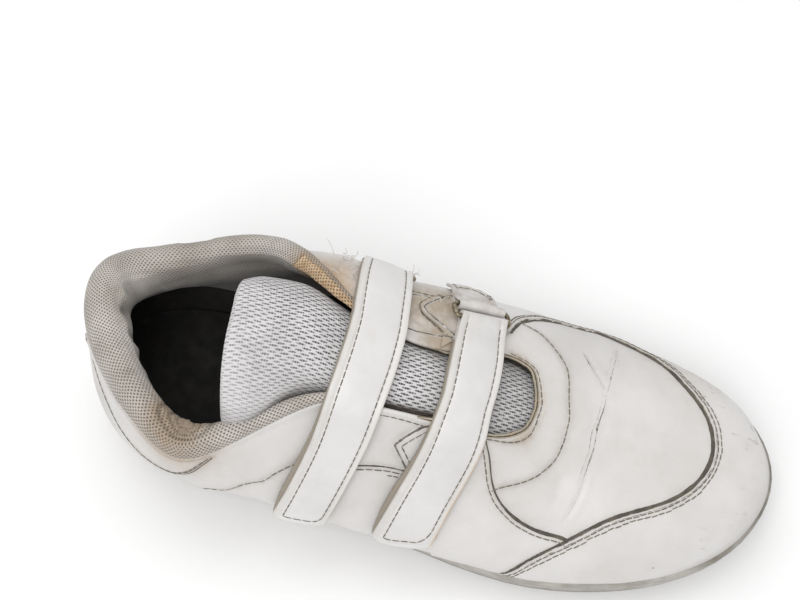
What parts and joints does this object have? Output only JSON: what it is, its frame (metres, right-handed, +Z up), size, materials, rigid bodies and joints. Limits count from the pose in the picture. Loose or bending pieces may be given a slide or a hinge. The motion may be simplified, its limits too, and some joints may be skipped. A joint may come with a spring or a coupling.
{
  "type": "worn out sneaker",
  "caption": "Worn white leather-look sneaker, right foot, with hook-and-loop straps folded through wire rings, a padded mesh collar, a knit tongue and a thick rubber sole.",
  "frame": {"origin": "on the floor under the middle of the shoe's bounding box", "axes": "+X from heel to toe, +Y towards the inner (medial) side of this right shoe, +Z up"},
  "size_m": [0.2874, 0.1133, 0.1085],
  "materials": {
    "white_leather": "coated white leather, scuffed, with grey-brown dirt in creases and seams",
    "strap_leather": "coated white leather, slightly glossy, stitched near its edges",
    "grey_knit": "pale grey ribbed knit with rows of dark dashes",
    "collar_mesh": "padded grey-beige dotted mesh, soiled at the rim",
    "dirty_rubber": "matt rubber, grey-brown with dirt",
    "insole_foam": "dark cloth-covered foam",
    "ring_steel": "worn plated wire with brown tarnish"
  },
  "bodies": {
    "root": {"sole": "dirty_rubber", "insole": "insole_foam", "upper": "white_leather", "collar": "collar_mesh", "tongue": "grey_knit", "rear_strap": "strap_leather", "front_strap": "strap_leather", "rear_ring_tab": "strap_leather", "front_ring_tab": "strap_leather", "rear_ring": "ring_steel", "front_ring": "ring_steel"}
  },
  "joints": []
}
